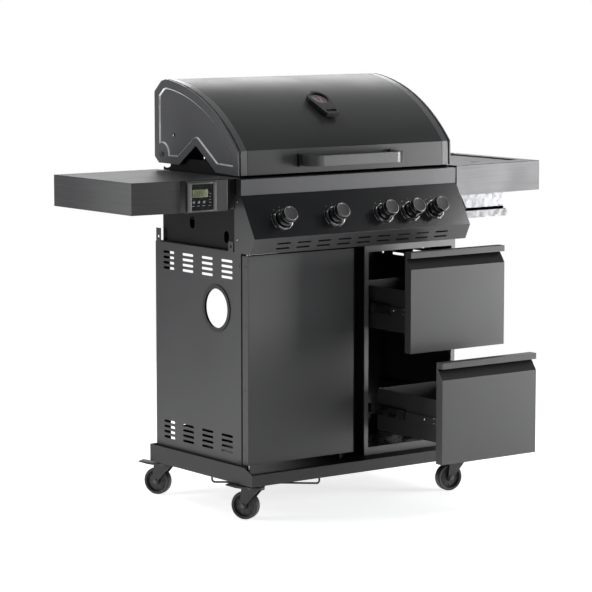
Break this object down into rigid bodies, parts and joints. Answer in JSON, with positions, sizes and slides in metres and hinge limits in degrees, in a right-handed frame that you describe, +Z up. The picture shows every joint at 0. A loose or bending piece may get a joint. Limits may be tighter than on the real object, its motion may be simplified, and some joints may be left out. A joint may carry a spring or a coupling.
{
  "type": "gas barbecue grill",
  "caption": "Freestanding gas barbecue with a hinged lid, burner knobs, side tables with a side burner, and a cabinet with a door and drawers on swivel casters.",
  "frame": {"origin": "middle of the footprint at rest (drawers standing open), on the floor", "axes": "+X to the right seen from the front, +Y to the rear, +Z up; the control panel faces -Y"},
  "size_m": [1.384, 0.7966, 1.14],
  "materials": {
    "graphite_paint": "satin metallic powder coat",
    "lid_paint": "smooth enamel, slightly glossy",
    "black_paint": "satin powder coat",
    "grey_frame_paint": "satin powder coat",
    "zinc_steel": "zinc plated",
    "bright_chrome": "polished",
    "stainless": "brushed",
    "iron": "matt enamel",
    "burner_brass": "cast",
    "handle_metal": "satin",
    "black_plastic": "moulded, satin",
    "red_pointer": "matt",
    "grommet_rubber": "matt",
    "caster_steel": "satin"
  },
  "bodies": {
    "cabinet": {"base_tray": "black_paint", "corner_brace_rod": "black_paint", "hose_grommet": "grommet_rubber", "centre_divider": "black_paint", "drawer_bay_frame": "grey_frame_paint", "cabinet_back": "black_paint", "hinge_pins": "zinc_steel", "outer_rails": "zinc_steel", "front_trim": "graphite_paint", "control_panel": "graphite_paint", "knob_bezels": "bright_chrome", "gas_manifold": "zinc_steel", "burner_tubes": "stainless", "flame_tamers": "stainless", "cooking_grates": "iron", "warming_rack": "bright_chrome", "left_table": "graphite_paint", "display_housing": "black_paint", "right_table": "graphite_paint", "side_burner_bowl": "zinc_steel", "side_burner_head": "burner_brass", "side_burner_grate": "iron", "firebox": "black_paint", "left_side_panel": "graphite_paint", "right_side_panel": "graphite_paint"},
    "lid": {"lid_shell": "lid_paint", "lid_end_left": "lid_paint", "lid_end_right": "lid_paint", "lid_handle": "handle_metal", "lid_handle_mounts": "black_plastic", "gauge_case": "black_plastic"},
    "lid_gauge_needle": {"gauge_needle": "red_pointer"},
    "cabinet_door": {"door": "graphite_paint"},
    "top_drawer": {"top_drawer_front": "graphite_paint", "top_drawer_box": "black_paint"},
    "top_drawer_rails": {"top_drawer_middle_rails": "zinc_steel"},
    "bottom_drawer": {"bottom_drawer_front": "graphite_paint", "bottom_drawer_box": "black_paint"},
    "bottom_drawer_rails": {"bottom_drawer_middle_rails": "zinc_steel"},
    "burner_lid": {"side_burner_lid": "graphite_paint"},
    "burner_tray": {"side_burner_tray": "black_paint"},
    "drip_tray": {"grease_tray": "zinc_steel"},
    "knob_1": {"burner_knob_1": "black_plastic"},
    "knob_2": {"burner_knob_2": "black_plastic"},
    "knob_3": {"burner_knob_3": "black_plastic"},
    "knob_4": {"burner_knob_4": "black_plastic"},
    "knob_5": {"burner_knob_5": "black_plastic"},
    "button_1": {"display_button_1": "black_plastic"},
    "button_2": {"display_button_2": "black_plastic"},
    "button_3": {"display_button_3": "black_plastic"},
    "fork_front_left": {"caster_fork_front_left": "caster_steel"},
    "wheel_front_left": {"caster_wheel_front_left": "black_plastic"},
    "brake_front_left": {"caster_brake_front_left": "black_plastic"},
    "fork_front_right": {"caster_fork_front_right": "caster_steel"},
    "wheel_front_right": {"caster_wheel_front_right": "black_plastic"},
    "fork_rear_left": {"caster_fork_rear_left": "caster_steel"},
    "wheel_rear_left": {"caster_wheel_rear_left": "black_plastic"},
    "brake_rear_left": {"caster_brake_rear_left": "black_plastic"},
    "fork_rear_right": {"caster_fork_rear_right": "caster_steel"},
    "wheel_rear_right": {"caster_wheel_rear_right": "black_plastic"}
  },
  "joints": [
    {"name": "lid_hinge", "type": "hinge", "parent": "cabinet", "child": "lid", "pos_m": [0, 0.31307, 0.9383], "axis": [-1, 0, 0], "range_deg": [0, 86]},
    {"name": "door_hinge", "type": "hinge", "parent": "cabinet", "child": "cabinet_door", "pos_m": [-0.351, -0.07333, 0.4], "axis": [0, 0, -1], "range_deg": [0, 105]},
    {"name": "top_drawer_slide", "type": "slide", "parent": "cabinet", "child": "top_drawer", "axis": [0, 1, 0], "range_m": [-0.139, 0.181]},
    {"name": "top_rails_slide", "type": "slide", "parent": "cabinet", "child": "top_drawer_rails", "axis": [0, 1, 0], "range_m": [-0.0695, 0.0905]},
    {"name": "bottom_drawer_slide", "type": "slide", "parent": "cabinet", "child": "bottom_drawer", "axis": [0, 1, 0], "range_m": [-0.007, 0.313]},
    {"name": "bottom_rails_slide", "type": "slide", "parent": "cabinet", "child": "bottom_drawer_rails", "axis": [0, 1, 0], "range_m": [-0.0035, 0.1565]},
    {"name": "burner_lid_hinge", "type": "hinge", "parent": "cabinet", "child": "burner_lid", "pos_m": [0.528, 0.29937, 0.897], "axis": [-1, 0, 0], "range_deg": [0, 100]},
    {"name": "burner_tray_slide", "type": "slide", "parent": "cabinet", "child": "burner_tray", "axis": [0, -1, 0], "range_m": [0, 0.15]},
    {"name": "drip_tray_slide", "type": "slide", "parent": "cabinet", "child": "drip_tray", "axis": [0, 1, 0], "range_m": [0, 0.25]},
    {"name": "knob_1_turn", "type": "hinge", "parent": "cabinet", "child": "knob_1", "pos_m": [-0.254, -0.09542, 0.78502], "axis": [0, -0.8725, 0.4886], "range_deg": [0, 170]},
    {"name": "knob_2_turn", "type": "hinge", "parent": "cabinet", "child": "knob_2", "pos_m": [-0.082, -0.09542, 0.78502], "axis": [0, -0.8725, 0.4886], "range_deg": [0, 170]},
    {"name": "knob_3_turn", "type": "hinge", "parent": "cabinet", "child": "knob_3", "pos_m": [0.083, -0.09542, 0.78502], "axis": [0, -0.8725, 0.4886], "range_deg": [0, 170]},
    {"name": "knob_4_turn", "type": "hinge", "parent": "cabinet", "child": "knob_4", "pos_m": [0.176, -0.09542, 0.78502], "axis": [0, -0.8725, 0.4886], "range_deg": [0, 170]},
    {"name": "knob_5_turn", "type": "hinge", "parent": "cabinet", "child": "knob_5", "pos_m": [0.258, -0.09542, 0.78502], "axis": [0, -0.8725, 0.4886], "range_deg": [0, 170]},
    {"name": "button_1_press", "type": "slide", "parent": "cabinet", "child": "button_1", "axis": [0, 1, 0], "range_m": [0, 0.001], "stiffness_N_per_m": 400},
    {"name": "button_2_press", "type": "slide", "parent": "cabinet", "child": "button_2", "axis": [0, 1, 0], "range_m": [0, 0.001], "stiffness_N_per_m": 400},
    {"name": "button_3_press", "type": "slide", "parent": "cabinet", "child": "button_3", "axis": [0, 1, 0], "range_m": [0, 0.001], "stiffness_N_per_m": 400},
    {"name": "needle_turn", "type": "hinge", "parent": "lid", "child": "lid_gauge_needle", "pos_m": [0, 0.09137, 1.07507], "axis": [0, -0.506, 0.8625], "range_deg": [-110, 110], "stiffness_Nm_per_rad": 0.01},
    {"name": "swivel_front_left", "type": "hinge", "parent": "cabinet", "child": "fork_front_left", "pos_m": [-0.345, -0.09663, 0.085], "axis": [0, 0, 1], "continuous": true},
    {"name": "roll_front_left", "type": "hinge", "parent": "fork_front_left", "child": "wheel_front_left", "pos_m": [-0.3595, -0.07151, 0.0375], "axis": [-0.866, -0.5, 0], "continuous": true},
    {"name": "brake_front_left_press", "type": "hinge", "parent": "fork_front_left", "child": "brake_front_left", "pos_m": [-0.3595, -0.07151, 0.084], "axis": [-0.866, -0.5, 0], "range_deg": [0, 10]},
    {"name": "swivel_front_right", "type": "hinge", "parent": "cabinet", "child": "fork_front_right", "pos_m": [0.345, -0.09663, 0.085], "axis": [0, 0, 1], "continuous": true},
    {"name": "roll_front_right", "type": "hinge", "parent": "fork_front_right", "child": "wheel_front_right", "pos_m": [0.31653, -0.0911, 0.0375], "axis": [-0.1908, -0.9816, 0], "continuous": true},
    {"name": "swivel_rear_left", "type": "hinge", "parent": "cabinet", "child": "fork_rear_left", "pos_m": [-0.342, 0.32137, 0.085], "axis": [0, 0, 1], "continuous": true},
    {"name": "roll_rear_left", "type": "hinge", "parent": "fork_rear_left", "child": "wheel_rear_left", "pos_m": [-0.35737, 0.34596, 0.0375], "axis": [-0.848, -0.5299, 0], "continuous": true},
    {"name": "brake_rear_left_press", "type": "hinge", "parent": "fork_rear_left", "child": "brake_rear_left", "pos_m": [-0.35737, 0.34596, 0.084], "axis": [-0.848, -0.5299, 0], "range_deg": [0, 10]},
    {"name": "swivel_rear_right", "type": "hinge", "parent": "cabinet", "child": "fork_rear_right", "pos_m": [0.342, 0.32137, 0.085], "axis": [0, 0, 1], "continuous": true},
    {"name": "roll_rear_right", "type": "hinge", "parent": "fork_rear_right", "child": "wheel_rear_right", "pos_m": [0.35286, 0.34826, 0.0375], "axis": [-0.9272, 0.3746, 0], "continuous": true}
  ],
  "couplings": [
    {"joint": "top_rails_slide", "follows": "top_drawer_slide", "ratio": 0.5},
    {"joint": "bottom_rails_slide", "follows": "bottom_drawer_slide", "ratio": 0.5}
  ]
}
